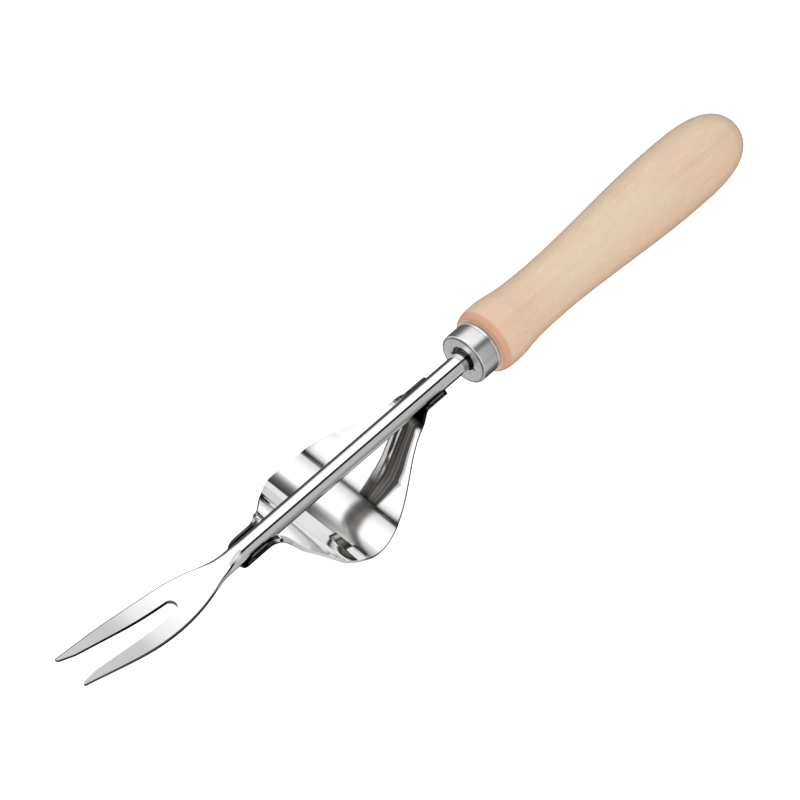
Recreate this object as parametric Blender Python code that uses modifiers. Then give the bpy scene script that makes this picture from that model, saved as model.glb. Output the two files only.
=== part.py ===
"""Hand weeder with a leverage plate.

A forged two-tined fork on a round steel shaft, a bent sheet-metal plate welded
under the shaft as a fulcrum, a stamped steel ferrule and a turned wooden handle.

Frame: +X runs along the tool from the tines to the handle, +Y is across it and
+Z is up. The origin is on the ground under the middle of the tool. All the parts
hang on an empty at the front face of the ferrule, on the shaft's axis, so their
own coordinates are measured from there.
"""

import math

import bmesh
import bpy

# Lengths in metres
CLEARANCE = 0.0003

# Where the parts' own frame stands
FERRULE_X = 0.0200
AXIS_HEIGHT = 0.0217

# Shaft and tang
SHAFT_RADIUS = 0.0035
SHAFT_FRONT_X = -0.102
TANG_END_X = 0.058
TANG_CHAMFER = 0.001

# Neck, where the round shaft is forged flat: each pair is where one feature starts and ends
NECK_TOP_X = (-0.106, -0.115)
NECK_BOTTOM_X = (SHAFT_FRONT_X, -0.119)
NECK_CORNER_X = (-0.108, -0.124)
NECK_REAR_X = -0.126

# Fork
TIP_X = -0.1805
BLADE_OUTLINE_TIP = ((-0.1820, 0.0066), (-0.1720, 0.0073), (-0.1620, 0.0088), (-0.1500, 0.0088))
BLADE_OUTLINE_NECK = ((-0.1500, 0.0088), (-0.1230, 0.0088), (-0.1240, 0.0035), (-0.1080, 0.0035))
BLADE_TOP_AT_NECK = 0.0012
BLADE_EDGE_RADIUS = 0.0004
BLADE_THICKNESS_ROOT = 0.0019
BLADE_THICKNESS_TIP = 0.0012
NECK_RISE = 0.085
TINE_RISE = 0.325
TINE_BEND_X = (-0.132, -0.160)
SLOT_ROOT_X = -0.135
SLOT_ROOT_RADIUS = 0.0023
SLOT_HALF_WIDTH_TIP = 0.0042
SLOT_FLARE_X = -0.174
TIP_RADIUS = 0.0008
TIP_CENTRE_Y = 0.0062
TIP_ARC_DEGREES = (245, 95)
FULLEST_CORNER = 0.998
SLOT_CUTTER_SIDE_Y = 0.020
SLOT_CUTTER_Z = (-0.010, 0.030)
CUTTER_MARGIN = 0.010

# Fulcrum plate: (x, z, fillet) bend points before and behind the round trough it rocks on
PLATE_THICKNESS = 0.001
PLATE_FRONT = (
    (-0.1075, -0.0043, 0.0),
    (-0.0917, -0.0043, 0.004),
    (-0.0763, -0.0183, 0.002),
)
PLATE_REAR = (
    (-0.0430, -0.0130, 0.060),
    (-0.0285, -0.0043, 0.008),
    (-0.0113, -0.0043, 0.0),
)
TROUGH_X = -0.0630
TROUGH_BOTTOM_Z = -0.0212
TROUGH_RADIUS = 0.0154
TROUGH_STEP_DEGREES = 7.0
TROUGH_STEPS = (-3.5, 5.5)
LEAF_OUTLINE_FRONT = ((-0.0970, 0.0074), (-0.0844, 0.0074), (-0.0788, 0.0228), (-0.0644, 0.0228))
LEAF_OUTLINE_REAR = ((-0.0644, 0.0228), (-0.0456, 0.0228), (-0.0384, 0.0078), (-0.0230, 0.0064))
LEAF_CURL_X = (-0.0725, -0.0545)
LEAF_CURL_GROWTH = 900.0
LEAF_CURL_REAR_LENGTH = 0.0105
TAB_CORNER_RADIUS = 0.0045
TAB_BEND_RADIUS = 0.00465
TAB_UNROLL_FRONT = (-0.0970, -0.0870)
TAB_UNROLL_REAR = (-0.0220, -0.0290)
TAB_END_STEPS = (0.0004, 0.0012)
FLAT_CURL = 0.001
SHEET_STEP = 0.0025

# Welds: how far to the side and how high each pair lies
WELD_RADIUS = 0.00035
WELD_END_TAPER = 0.6
WELD_SPANS = {"front": (-0.1050, -0.0975), "rear": (-0.0215, -0.0140)}
WELD_OFFSETS = {"front": (0.0043, 0.00115), "rear": (0.0043, 0.0002)}

# Ferrule
FERRULE_RADIUS = 0.0094
FERRULE_LENGTH = 0.0081
FERRULE_WALL = 0.0009
FERRULE_EDGE_RADIUS = 0.0006
HOLE_RADIUS = 0.0047
HOLE_LIFT = 0.0009
NOTCH_REACH = 0.0053
NOTCH_HEIGHT = 0.0011
NOTCH_Z = -0.0006
CUTTER_DEPTH = 0.004
NOTCH_CUTTER_DEPTH = 0.0044

# Handle
HANDLE_END_X = 0.1405
HANDLE_BEAD = (0.0150, 0.0120)
HANDLE_WAIST = (0.0416, 0.0104)
HANDLE_BELLY = (0.1070, 0.0134)
TANG_BORE_END_X = 0.062
TANG_BORE_CONE = 0.002

# Where the handle's curves pull towards: (x, radius) or x along the level tangents
DOME_PULL_RADIUS = 0.0146
DOME_PULL_X = 0.1190
TAPER_PULL_X = (0.0880, 0.0600)
THROAT_PULL_X = (0.0200, 0.0240)
LIP_PULL = (0.0105, 0.0112)
LIP_RADIUS = 0.0098


def clear_scene():
    for obj in list(bpy.data.objects):
        bpy.data.objects.remove(obj, do_unlink=True)


def new_collection(name):
    collection = bpy.data.collections.new(name)
    bpy.context.scene.collection.children.link(collection)
    return collection


def make_material(name, colour, metallic, roughness):
    material = bpy.data.materials.new(name)
    material.use_nodes = True
    shader = material.node_tree.nodes["Principled BSDF"]
    shader.inputs["Base Color"].default_value = (*colour, 1.0)
    shader.inputs["Metallic"].default_value = metallic
    shader.inputs["Roughness"].default_value = roughness
    return material


def add_object(name, mesh, collection, parent, material=None):
    obj = bpy.data.objects.new(name, mesh)
    collection.objects.link(obj)
    obj.parent = parent
    if material:
        mesh.materials.append(material)
    return obj


def shade(mesh, sharp_degrees=35):
    mesh.shade_smooth()
    mesh.set_sharp_from_angle(angle=math.radians(sharp_degrees))


def bezier(points, count):
    """Points along one cubic Bezier stretch, both ends included."""
    (ax, ay), (bx, by), (cx, cy), (dx, dy) = points
    curve = []
    for step in range(count + 1):
        t = step / count
        s = 1.0 - t
        weights = (s**3, 3 * s * s * t, 3 * s * t * t, t**3)
        x = weights[0] * ax + weights[1] * bx + weights[2] * cx + weights[3] * dx
        y = weights[0] * ay + weights[1] * by + weights[2] * cy + weights[3] * dy
        curve.append((x, y))
    return curve


def arc(centre, radius, start_degrees, end_degrees, count):
    points = []
    for step in range(count + 1):
        angle = math.radians(start_degrees + (end_degrees - start_degrees) * step / count)
        points.append((centre[0] + radius * math.cos(angle), centre[1] + radius * math.sin(angle)))
    return points


def along(curve, x):
    """Height of a left-to-right list of points at x, held level past its ends."""
    if x <= curve[0][0]:
        return curve[0][1]
    for (x0, y0), (x1, y1) in zip(curve, curve[1:]):
        if x <= x1:
            return y0 + (y1 - y0) * (x - x0) / (x1 - x0)
    return curve[-1][1]


def ease(x, start, end):
    """Smooth step from 0 at start to 1 at end."""
    t = min(1.0, max(0.0, (x - start) / (end - start)))
    return t * t * (3.0 - 2.0 * t)


def spread(start, end, count):
    return [start + (end - start) * step / count for step in range(count + 1)]


def loft(rings, capped=True):
    """Mesh that skins a list of equal closed rings."""
    bm = bmesh.new()
    rows = [[bm.verts.new(point) for point in ring] for ring in rings]
    size = len(rows[0])
    for low, high in zip(rows, rows[1:]):
        for i in range(size):
            j = (i + 1) % size
            bm.faces.new((low[i], low[j], high[j], high[i]))
    if capped:
        bm.faces.new(rows[0])
        bm.faces.new(rows[-1])
    bmesh.ops.recalc_face_normals(bm, faces=bm.faces)
    return bm


def finish_mesh(bm, name):
    mesh = bpy.data.meshes.new(name)
    bm.to_mesh(mesh)
    bm.free()
    return mesh


# Fork and shaft


def blade_top(x):
    """Height of the blade's top face, which rises gently and then bends up along the tines."""
    step = 0.0005
    height = BLADE_TOP_AT_NECK
    position = NECK_TOP_X[0]
    while position > x:
        rise = NECK_RISE + (TINE_RISE - NECK_RISE) * ease(position, *TINE_BEND_X)
        height += rise * min(step, position - x)
        position -= step
    return height


def blade_thickness(x):
    thin = ease(x, SLOT_ROOT_X, TIP_X)
    return BLADE_THICKNESS_ROOT + (BLADE_THICKNESS_TIP - BLADE_THICKNESS_ROOT) * thin


def mix(a, b, share):
    return a + (b - a) * share


def bar_section(x, outline):
    """Half width, top, bottom and corner radius of the forged bar at x."""
    half_width = along(outline, x)
    top = mix(SHAFT_RADIUS, blade_top(x), ease(x, *NECK_TOP_X))
    bottom = mix(-SHAFT_RADIUS, blade_top(x) - blade_thickness(x), ease(x, *NECK_BOTTOM_X))
    corner = mix(SHAFT_RADIUS, BLADE_EDGE_RADIUS, ease(x, *NECK_CORNER_X))
    return half_width, top, bottom, min(corner, FULLEST_CORNER * half_width)


def rounded_rectangle(half_width, top, bottom, radius, steps):
    """Outline with four rounded corners, as (y, z) points. Where it is thin the corners are flattened."""
    height = min(radius, FULLEST_CORNER * (top - bottom) / 2)
    right = half_width - radius
    high, low = top - height, bottom + height
    corners = ((right, high), (-right, high), (-right, low), (right, low))
    points = []
    for quarter, (y, z) in enumerate(corners):
        for across, up in arc((0.0, 0.0), 1.0, 90 * quarter, 90 * quarter + 90, steps):
            points.append((y + radius * across, z + height * up))
    return points


def make_fork_shaft(parts, cutters, parent, steel):
    outline = bezier(BLADE_OUTLINE_TIP, 16) + bezier(BLADE_OUTLINE_NECK, 20)[1:]
    stations = spread(TIP_X - TIP_RADIUS, SLOT_ROOT_X, 18)[:-1]
    stations += spread(SLOT_ROOT_X, NECK_REAR_X, 6)[:-1]
    stations += spread(NECK_REAR_X, SHAFT_FRONT_X, 24)
    rings = []
    for x in stations:
        section = rounded_rectangle(*bar_section(x, outline), 5)
        rings.append([(x, y, z) for y, z in section])
    for x, radius in ((TANG_END_X - TANG_CHAMFER, SHAFT_RADIUS), (TANG_END_X, SHAFT_RADIUS - TANG_CHAMFER)):
        section = rounded_rectangle(radius, radius, -radius, FULLEST_CORNER * radius, 5)
        rings.append([(x, y, z) for y, z in section])
    mesh = finish_mesh(loft(rings), "fork_shaft")
    shade(mesh)
    obj = add_object("fork_shaft", mesh, parts, parent, steel)
    cutter = make_slot_cutter(cutters, parent)
    cut = obj.modifiers.new("slot", "BOOLEAN")
    cut.operation = "DIFFERENCE"
    cut.object = cutter


def make_slot_cutter(cutters, parent):
    """Prism that leaves the two tines: the slot between them and the room around their rounded tips."""
    root = (SLOT_ROOT_X - SLOT_ROOT_RADIUS, 0.0)
    tip = (TIP_X + TIP_RADIUS, TIP_CENTRE_Y)
    half = arc(root, SLOT_ROOT_RADIUS, 0, 88, 7)
    half.append((SLOT_FLARE_X, SLOT_HALF_WIDTH_TIP))
    half += arc(tip, TIP_RADIUS, *TIP_ARC_DEGREES, 7)
    half += [(tip[0], SLOT_CUTTER_SIDE_Y), (TIP_X - CUTTER_MARGIN, SLOT_CUTTER_SIDE_Y)]
    outline = half + [(x, -y) for x, y in reversed(half[1:])]
    rings = [[(x, y, z) for x, y in outline] for z in SLOT_CUTTER_Z]
    cutter = add_object("slot_cutter", finish_mesh(loft(rings), "slot_cutter"), cutters, parent)
    hide_cutter(cutter)
    return cutter


def hide_cutter(cutter):
    cutter.hide_render = True
    cutter.display_type = "WIRE"


# Fulcrum plate


def filleted_side(corners, steps):
    """Side profile through the bend points, each bend rounded to its own radius."""
    path = [corners[0][:2]]
    for before, here, after in zip(corners, corners[1:], corners[2:]):
        angle_in = math.atan2(here[1] - before[1], here[0] - before[0])
        angle_out = math.atan2(after[1] - here[1], after[0] - here[0])
        turn = angle_out - angle_in
        reach = here[2] * math.tan(abs(turn) / 2)
        start = (here[0] - reach * math.cos(angle_in), here[1] - reach * math.sin(angle_in))
        side = math.copysign(here[2], turn)
        centre = (start[0] - side * math.sin(angle_in), start[1] + side * math.cos(angle_in))
        for step in range(steps + 1):
            angle = angle_in + turn * step / steps
            path.append((centre[0] + side * math.sin(angle), centre[1] - side * math.cos(angle)))
    path.append(corners[-1][:2])
    return path


def refine(path, longest):
    """The same path with no stretch longer than the given one."""
    fine = [path[0]]
    for start, end in zip(path, path[1:]):
        count = max(1, math.ceil(math.dist(start, end) / longest))
        for step in range(1, count + 1):
            t = step / count
            fine.append((mix(start[0], end[0], t), mix(start[1], end[1], t)))
    return fine


def plate_path():
    """Side profile of the plate's middle line: front slope, round trough and rear slope."""
    first, last = (TROUGH_STEP_DEGREES * step for step in TROUGH_STEPS)
    centre_z = TROUGH_BOTTOM_Z + TROUGH_RADIUS * math.cos(math.radians(TROUGH_STEP_DEGREES / 2))
    count = round(TROUGH_STEPS[1] - TROUGH_STEPS[0])
    trough = arc((TROUGH_X, centre_z), TROUGH_RADIUS, first - 90, last - 90, count)
    front = filleted_side(PLATE_FRONT + ((*trough[0], 0.0),), 6)
    rear = filleted_side(((*trough[-1], 0.0),) + PLATE_REAR, 6)
    return refine(front, SHEET_STEP) + trough[1:-1] + refine(rear, SHEET_STEP)


def plate_half_width(x, outline):
    """Half width of the flat blank, with the corners of both end tabs rounded."""
    width = along(outline, x)
    from_end = min(x - PLATE_FRONT[0][0], PLATE_REAR[-1][0] - x)
    if from_end < TAB_CORNER_RADIUS:
        missing = TAB_CORNER_RADIUS - from_end
        width += math.sqrt(max(0.0, TAB_CORNER_RADIUS**2 - missing**2)) - TAB_CORNER_RADIUS
    return width


def plate_curl(x):
    """Curvature across the plate: none at the trough, a little on both slopes, half round at the tabs."""
    ahead = max(0.0, LEAF_CURL_X[0] - x)
    behind = min(LEAF_CURL_REAR_LENGTH, max(0.0, x - LEAF_CURL_X[1]))
    leaf = LEAF_CURL_GROWTH * (ahead + behind)
    front = 1.0 - ease(x, *TAB_UNROLL_FRONT)
    rear = 1.0 - ease(x, *TAB_UNROLL_REAR)
    return mix(leaf, 1.0 / TAB_BEND_RADIUS, max(front, rear))


def cross_point(distance, curl):
    """(across, up) of a point at this distance from the middle of a strip with this curl."""
    if curl * TAB_BEND_RADIUS < FLAT_CURL:
        return distance, 0.0
    angle = distance * curl
    return math.sin(angle) / curl, (1.0 - math.cos(angle)) / curl


def make_fulcrum_plate(parts, parent, steel):
    outline = bezier(LEAF_OUTLINE_FRONT, 14) + bezier(LEAF_OUTLINE_REAR, 14)[1:]
    path = plate_path()
    first, last = path[0], path[-1]
    for offset in TAB_END_STEPS:
        path.append((first[0] + offset, first[1]))
        path.append((last[0] - offset, last[1]))
    path.sort()
    across = spread(-1.0, 1.0, 16)
    bm = bmesh.new()
    rows = []
    for x, z in path:
        half_width = plate_half_width(x, outline)
        curl = plate_curl(x)
        row = []
        for share in across:
            y, up = cross_point(share * half_width, curl)
            row.append(bm.verts.new((x, y, z + up)))
        rows.append(row)
    for low, high in zip(rows, rows[1:]):
        for i in range(len(across) - 1):
            bm.faces.new((low[i], high[i], high[i + 1], low[i + 1]))
    mesh = finish_mesh(bm, "fulcrum_plate")
    shade(mesh)
    obj = add_object("fulcrum_plate", mesh, parts, parent, steel)
    sheet = obj.modifiers.new("sheet", "SOLIDIFY")
    sheet.thickness = PLATE_THICKNESS
    sheet.offset = 0.0
    sheet.use_even_offset = True


# Welds


def make_weld(name, span, y, z, parts, parent, steel):
    curve = bpy.data.curves.new(name, "CURVE")
    curve.dimensions = "3D"
    curve.bevel_depth = WELD_RADIUS
    curve.bevel_resolution = 2
    curve.use_fill_caps = True
    spline = curve.splines.new("POLY")
    places = spread(*span, 8)
    spline.points.add(len(places) - 1)
    for number, x in enumerate(places):
        spline.points[number].co = (x, y, z, 1.0)
        spline.points[number].radius = WELD_END_TAPER if number in (0, len(places) - 1) else 1.0
    add_object(name, curve, parts, parent, steel)


def make_welds(parts, parent, steel):
    for end, span in WELD_SPANS.items():
        side, up = WELD_OFFSETS[end]
        make_weld(f"weld_{end}_left", span, side, up, parts, parent, steel)
        make_weld(f"weld_{end}_right", span, -side, up, parts, parent, steel)


# Turned parts


def turned(name, profile, segments, collection, parent, material):
    """Solid of revolution about +X. Its (x, radius) points run to -X on the outer side, from axis to axis."""
    bm = bmesh.new()
    verts = [bm.verts.new((radius, 0.0, x)) for x, radius in profile]
    for start, end in zip(verts, verts[1:]):
        bm.edges.new((start, end))
    mesh = finish_mesh(bm, name)
    obj = add_object(name, mesh, collection, parent, material)
    obj.rotation_euler = (0.0, math.radians(90), 0.0)
    screw = obj.modifiers.new("turn", "SCREW")
    screw.steps = segments
    screw.render_steps = segments
    screw.use_merge_vertices = True
    screw.merge_threshold = 0.00001
    screw.use_smooth_shade = True
    return obj


def make_ferrule(parts, cutters, parent, steel):
    edge = FERRULE_EDGE_RADIUS
    inner = FERRULE_RADIUS - FERRULE_WALL
    profile = [(FERRULE_WALL, 0.0), (FERRULE_WALL, inner)]
    profile += [(FERRULE_LENGTH, inner), (FERRULE_LENGTH, FERRULE_RADIUS)]
    profile += arc((edge, FERRULE_RADIUS - edge), edge, 90, 180, 5)
    profile.append((0.0, 0.0))
    obj = turned("ferrule", profile, 56, parts, parent, steel)
    hole = cylinder_cutter("ferrule_hole_cutter", HOLE_RADIUS, HOLE_LIFT, cutters, parent)
    notch = box_cutter("ferrule_notch_cutter", NOTCH_REACH, NOTCH_HEIGHT, NOTCH_Z, cutters, parent)
    for cutter in (hole, notch):
        cut = obj.modifiers.new(cutter.name, "BOOLEAN")
        cut.operation = "DIFFERENCE"
        cut.object = cutter


def cylinder_cutter(name, radius, z, cutters, parent):
    bm = bmesh.new()
    bmesh.ops.create_cone(bm, cap_ends=True, segments=40, radius1=radius, radius2=radius, depth=CUTTER_DEPTH)
    cutter = add_object(name, finish_mesh(bm, name), cutters, parent)
    cutter.location = (0.0, 0.0, z)
    cutter.rotation_euler = (0.0, math.radians(90), 0.0)
    hide_cutter(cutter)
    return cutter


def box_cutter(name, reach, height, z, cutters, parent):
    bm = bmesh.new()
    bmesh.ops.create_cube(bm, size=1.0)
    bmesh.ops.scale(bm, vec=(NOTCH_CUTTER_DEPTH, 2 * reach, height), verts=bm.verts)
    cutter = add_object(name, finish_mesh(bm, name), cutters, parent)
    cutter.location = (0.0, 0.0, z)
    hide_cutter(cutter)
    return cutter


def handle_profile():
    """(x, radius) points of the handle: from its domed end forward, round the spigot and up the bore."""
    bead_x, bead = HANDLE_BEAD
    waist_x, waist = HANDLE_WAIST
    belly_x, belly = HANDLE_BELLY
    shoulder_x = FERRULE_LENGTH + CLEARANCE
    spigot = FERRULE_RADIUS - FERRULE_WALL - CLEARANCE
    spigot_x = FERRULE_WALL + CLEARANCE
    bore = SHAFT_RADIUS + CLEARANCE
    top = (belly_x, belly)
    end = bezier(((HANDLE_END_X, 0.0), (HANDLE_END_X, DOME_PULL_RADIUS), (DOME_PULL_X, belly), top), 16)
    neck = (waist_x, waist)
    body = bezier((top, (TAPER_PULL_X[0], belly), (TAPER_PULL_X[1], waist), neck), 14)
    ring = (bead_x, bead)
    throat = bezier((neck, (THROAT_PULL_X[0], waist), (THROAT_PULL_X[1], bead), ring), 10)
    lip = bezier((ring, (LIP_PULL[0], bead), (shoulder_x, LIP_PULL[1]), (shoulder_x, LIP_RADIUS)), 7)
    front = [(shoulder_x, spigot), (spigot_x, spigot), (spigot_x, bore)]
    bottom = [(TANG_BORE_END_X, bore), (TANG_BORE_END_X + TANG_BORE_CONE, 0.0)]
    return end + body[1:] + throat[1:] + lip[1:] + front + bottom


def main():
    clear_scene()
    parts = new_collection("hand_weeder")
    cutters = new_collection("cutters")
    axis = bpy.data.objects.new("tool_axis", None)
    parts.objects.link(axis)
    axis.location = (FERRULE_X, 0.0, AXIS_HEIGHT)
    polished = make_material("polished_steel", (0.80, 0.80, 0.80), 1.0, 0.08)
    satin = make_material("satin_steel", (0.62, 0.62, 0.62), 1.0, 0.25)
    weld = make_material("weld_steel", (0.45, 0.45, 0.45), 1.0, 0.35)
    beech = make_material("beech", (0.78, 0.58, 0.42), 0.0, 0.45)
    make_fork_shaft(parts, cutters, axis, polished)
    make_fulcrum_plate(parts, axis, polished)
    make_welds(parts, axis, weld)
    make_ferrule(parts, cutters, axis, satin)
    turned("handle", handle_profile(), 48, parts, axis, beech)


main()
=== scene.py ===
"""Looks of the hand weeder: fine meshes, metals, wood and a plain white studio."""

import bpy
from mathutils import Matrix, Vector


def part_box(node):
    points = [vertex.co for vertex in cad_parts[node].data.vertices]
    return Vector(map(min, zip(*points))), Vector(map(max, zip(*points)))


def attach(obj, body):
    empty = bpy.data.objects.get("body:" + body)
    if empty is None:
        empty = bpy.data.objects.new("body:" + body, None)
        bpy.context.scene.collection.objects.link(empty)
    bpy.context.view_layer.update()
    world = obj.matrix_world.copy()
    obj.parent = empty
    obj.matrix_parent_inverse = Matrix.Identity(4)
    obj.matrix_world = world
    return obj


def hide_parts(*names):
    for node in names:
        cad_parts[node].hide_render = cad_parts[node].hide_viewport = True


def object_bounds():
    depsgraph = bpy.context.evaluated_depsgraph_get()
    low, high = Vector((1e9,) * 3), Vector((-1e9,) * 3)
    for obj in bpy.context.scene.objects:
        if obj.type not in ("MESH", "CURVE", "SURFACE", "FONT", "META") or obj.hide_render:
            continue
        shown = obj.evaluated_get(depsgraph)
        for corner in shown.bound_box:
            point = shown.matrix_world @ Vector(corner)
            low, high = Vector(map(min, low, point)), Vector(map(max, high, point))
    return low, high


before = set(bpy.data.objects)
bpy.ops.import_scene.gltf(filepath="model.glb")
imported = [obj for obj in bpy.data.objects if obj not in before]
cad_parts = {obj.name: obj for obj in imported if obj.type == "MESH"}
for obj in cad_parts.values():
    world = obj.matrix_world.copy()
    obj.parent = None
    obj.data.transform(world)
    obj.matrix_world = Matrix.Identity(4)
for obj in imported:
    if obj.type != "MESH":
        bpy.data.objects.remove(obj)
cad_box = [list(corner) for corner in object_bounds()]

import math

import bmesh
import bpy
from mathutils import Quaternion, Vector

# Lengths in metres, measured from the ferrule's front face on the shaft's axis
CLEARANCE = 0.0003

# Shaft and neck
SHAFT_RADIUS = 0.0035
TANG_END_X = 0.058
TANG_CHAMFER = 0.001
NECK_TOP_X = (-0.106, -0.115)
NECK_BOTTOM_X = (-0.102, -0.119)
NECK_CORNER_X = (-0.108, -0.124)
NECK_REAR_X = -0.126
FULLEST_CORNER = 0.998

# Fork
TIP_X = -0.1805
BLADE_OUTLINE_TIP = ((-0.1820, 0.0066), (-0.1720, 0.0073), (-0.1620, 0.0088), (-0.1500, 0.0088))
BLADE_OUTLINE_NECK = ((-0.1500, 0.0088), (-0.1230, 0.0088), (-0.1240, 0.0035), (-0.1080, 0.0035))
BLADE_TOP_AT_NECK = 0.0012
BLADE_EDGE_RADIUS = 0.00055
BLADE_THICKNESS_ROOT = 0.0019
BLADE_THICKNESS_TIP = 0.0012
NECK_RISE = 0.085
TINE_RISE = 0.325
TINE_BEND_X = (-0.132, -0.160)
SLOT_ROOT_X = -0.135
SLOT_ROOT_RADIUS = 0.0023
SLOT_ROOT_DEGREES = (0, 88)
SLOT_HALF_WIDTH_TIP = 0.0042
SLOT_FLARE_X = -0.174
TIP_RADIUS = 0.0008
TIP_CENTRE_Y = 0.0062
TIP_ARC_DEGREES = (245, 95)
SLOT_CUTTER_SIDE_Y = 0.020
SLOT_CUTTER_Z = (-0.010, 0.030)
CUTTER_MARGIN = 0.010
FORK_SOFT_EDGE = 0.0003

# Fulcrum plate: (x, z, fillet) bend points before and behind the round trough
PLATE_THICKNESS = 0.001
PLATE_FRONT = (
    (-0.1075, -0.0043, 0.0),
    (-0.0917, -0.0043, 0.004),
    (-0.0763, -0.0183, 0.002),
)
PLATE_REAR = (
    (-0.0430, -0.0130, 0.060),
    (-0.0285, -0.0043, 0.008),
    (-0.0113, -0.0043, 0.0),
)
TROUGH_X = -0.0630
TROUGH_BOTTOM_Z = -0.0212
TROUGH_RADIUS = 0.0154
TROUGH_STEP_DEGREES = 7.0
TROUGH_STEPS = (-3.5, 5.5)
TROUGH_SMOOTH_STEPS = 6
CREASE_RADIUS = 0.0004
LEAF_OUTLINE_FRONT = ((-0.0970, 0.0074), (-0.0844, 0.0074), (-0.0788, 0.02277), (-0.0644, 0.02277))
LEAF_OUTLINE_REAR = ((-0.0644, 0.02277), (-0.0456, 0.02277), (-0.0384, 0.0078), (-0.0230, 0.0064))
LEAF_CURL_X = (-0.0725, -0.0545)
LEAF_CURL_GROWTH = 900.0
LEAF_CURL_REAR_LENGTH = 0.0105
TAB_CORNER_RADIUS = 0.0045
TAB_BEND_RADIUS = 0.00465
TAB_UNROLL_FRONT = (-0.0970, -0.0870)
TAB_UNROLL_REAR = (-0.0220, -0.0290)
FLAT_CURL = 0.001
SHEET_STEP = 0.0005
SHEET_ACROSS = 96
SHEET_EDGE_RADIUS = 0.00018

# Welds: how far to the side and how high each pair lies
WELD_RADIUS = 0.0004
WELD_SPANS = {"front": (-0.1050, -0.0975), "rear": (-0.0215, -0.0140)}
WELD_OFFSETS = {"front": (0.0043, 0.00115), "rear": (0.0043, 0.0002)}
WELD_RIPPLES = 9
WELD_RIPPLE_DEPTH = 0.16
WELD_END_TAPER = 6.0
WELD_END_LEAST = 0.25

# Ferrule
FERRULE_RADIUS = 0.0094
FERRULE_LENGTH = 0.0081
FERRULE_WALL = 0.0009
FERRULE_EDGE_RADIUS = 0.0006
FERRULE_RIM_RADIUS = 0.0002
FERRULE_SOFT_EDGE = 0.00015
FERRULE_CUT_X = (-0.002, 0.0022)
HOLE_RADIUS = 0.0047
HOLE_LIFT = 0.0009
NOTCH_REACH = 0.0053
NOTCH_HEIGHT = 0.0011
NOTCH_Z = -0.0006

# Handle
HANDLE_END_X = 0.1405
HANDLE_BEAD = (0.0150, 0.0120)
HANDLE_WAIST = (0.0416, 0.0104)
HANDLE_BELLY = (0.1070, 0.0134)
TANG_BORE_END_X = 0.062
TANG_BORE_CONE = 0.002
DOME_PULL_RADIUS = 0.0146
DOME_PULL_X = 0.1190
TAPER_PULL_X = (0.0880, 0.0600)
THROAT_PULL_X = (0.0200, 0.0240)
LIP_PULL = (0.0105, 0.0112)
LIP_RADIUS = 0.0098

# Fineness of the meshes: steps along a curve or stretch, and sides of a round piece
BLADE_OUTLINE_STEPS = (48, 64)
TINE_STEPS = 90
ROOT_STEPS = 18
NECK_STEPS = 96
SHAFT_STEPS = 40
CORNER_STEPS = 14
SLOPE_STEP = 0.0005
SLOT_ROOT_STEPS = 20
SLOT_TIP_STEPS = 16
LEAF_STEPS = 60
FILLET_STEPS = 16
TAB_END_SHARES = (0.01, 0.04, 0.09, 0.17, 0.28, 0.4, 0.55, 0.75)
WELD_STEPS = 72
WELD_SIDES = 24
TURNED_SIDES = 192
HOLE_SIDES = 96
FERRULE_EDGE_STEPS = 12
FERRULE_RIM_STEPS = 5
DOME_STEPS = 64
TAPER_STEPS = 60
THROAT_STEPS = 40
LIP_STEPS = 24

# A point of a turned profile that is nearer to the axis than this lies on it
AXIS_RADIUS = 1e-6

# In the tones below a pair named _X, _Y, _TILT, _FADE or _RADIUS is where a tone starts and where it is full.
# A _TILT is a part of the surface's normal. A _SPAN is the range of a ramp. A _NOISE gives the scale along
# each axis, the size, and then the detail and roughness where they aren't the usual ones.
EVEN_SCALE = (1.0, 1.0, 1.0)

# Metals in general: soft clouds under the polishing lines
METAL_CLOUD_NOISE = (EVEN_SCALE, 60.0, 2.0)
METAL_CLOUD_SHARE = 0.4
METAL_CLOUD_TONE = 0.96
METAL_BUMP_DEPTH = 0.00002

# Flat fork: painted dark reflection on its walls, tilted by the normal's upward part, with more for the left
# wall, and painted shade on its underside
FORK_WALL_X = (-0.120, -0.125)
FORK_WALL_TILT = (0.97, 0.80)
FORK_WALL_PAINTED_REFLECTION = 0.17
LEFT_WALL_TILT = (0.08, 0.13)
LEFT_WALL_Y = (0.0, 0.001)
LEFT_WALL_EXTRA = 0.14
BLADE_UNDERSIDE_TILT = (-0.45, -0.60)
BLADE_UNDERSIDE_PAINTED_SHADE = (0.27, 0.25, 0.23)

# Round shaft: painted dark reflections. Degrees round it from +Y through up, against the share of the
# underside's tint, or brightness
SHAFT_UNDERSIDE = (
    (200, 0.0), (206, 1.0), (256, 1.0), (261, 0.0),
    (303, 0.0), (306, 1.0), (322, 1.0), (326, 0.0),
)
SHAFT_UNDERSIDE_WHOLE = ((256, 0.0), (261, 1.0), (322, 1.0), (326, 0.0))
SHAFT_UNDERSIDE_WHOLE_X = (-0.0467, -0.0533)
SHAFT_UNDERSIDE_PAINTED_REFLECTION = (0.34, 0.31, 0.29)
SHAFT_UNDERSIDE_PAINTED_STRIPES = (
    (205, 0.30), (212, 0.90), (218, 0.35), (226, 1.0), (236, 0.55), (244, 0.90),
    (252, 0.30), (259, 0.30), (300, 0.5), (314, 0.4), (326, 0.5),
)
SHAFT_UNDERSIDE_ROUGHNESS = 0.35
# Painted dark reflection on the shaft's -Y side over the plate
SHAFT_PAINTED_DARK_SIDE = ((150, 1.0), (156, 0.52), (179, 0.46), (183, 0.06), (203, 0.06), (208, 1.0))
SHAFT_SIDE_SPAN = (-0.11, -0.01)
SHAFT_SIDE_STOPS = ((-0.105, 0.0), (-0.098, 1.0), (-0.020, 1.0), (-0.013, 0.0))
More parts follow.
